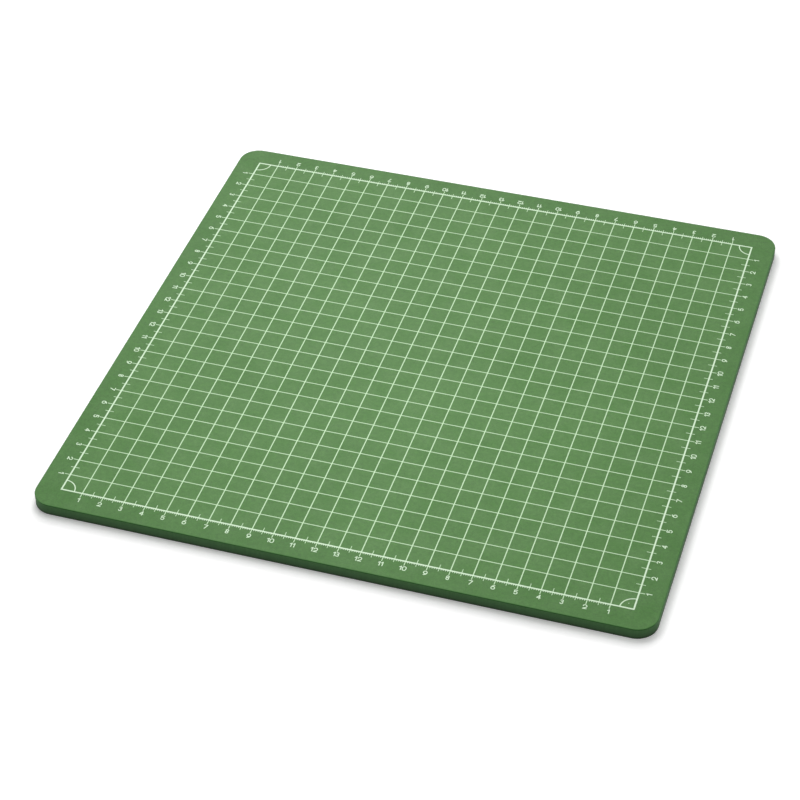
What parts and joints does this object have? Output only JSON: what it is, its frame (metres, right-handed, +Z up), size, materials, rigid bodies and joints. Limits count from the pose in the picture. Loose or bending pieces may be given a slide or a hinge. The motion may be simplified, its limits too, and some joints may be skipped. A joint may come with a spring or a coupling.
{
  "type": "self-healing cutting mat",
  "caption": "Thick square green self-healing cutting mat with rounded corners and a white printed centimetre grid with ruler ticks and numerals along all sides.",
  "frame": {"origin": "middle of the underside, on the surface the mat lies on", "axes": "+Z up through the thickness, towards the printed face; +Y from the front edge to the back edge; +X to the right as seen from the front edge"},
  "size_m": [0.2828, 0.2828, 0.0057],
  "materials": {
    "face_vinyl": "matte",
    "healing_vinyl": "matte",
    "core_vinyl": "matte",
    "print_ink": "matte"
  },
  "bodies": {
    "root": {"bottom_face_sheet": "face_vinyl", "lower_healing_layer": "healing_vinyl", "core_sheet": "core_vinyl", "upper_healing_layer": "healing_vinyl", "top_face_sheet": "face_vinyl", "border_line": "print_ink", "column_lines": "print_ink", "row_lines": "print_ink", "centimetre_ticks": "print_ink", "half_centimetre_ticks": "print_ink", "corner_arcs": "print_ink", "corner_dot": "print_ink", "front_numerals": "print_ink", "right_numerals": "print_ink", "back_numerals": "print_ink", "left_numerals": "print_ink"}
  },
  "joints": []
}
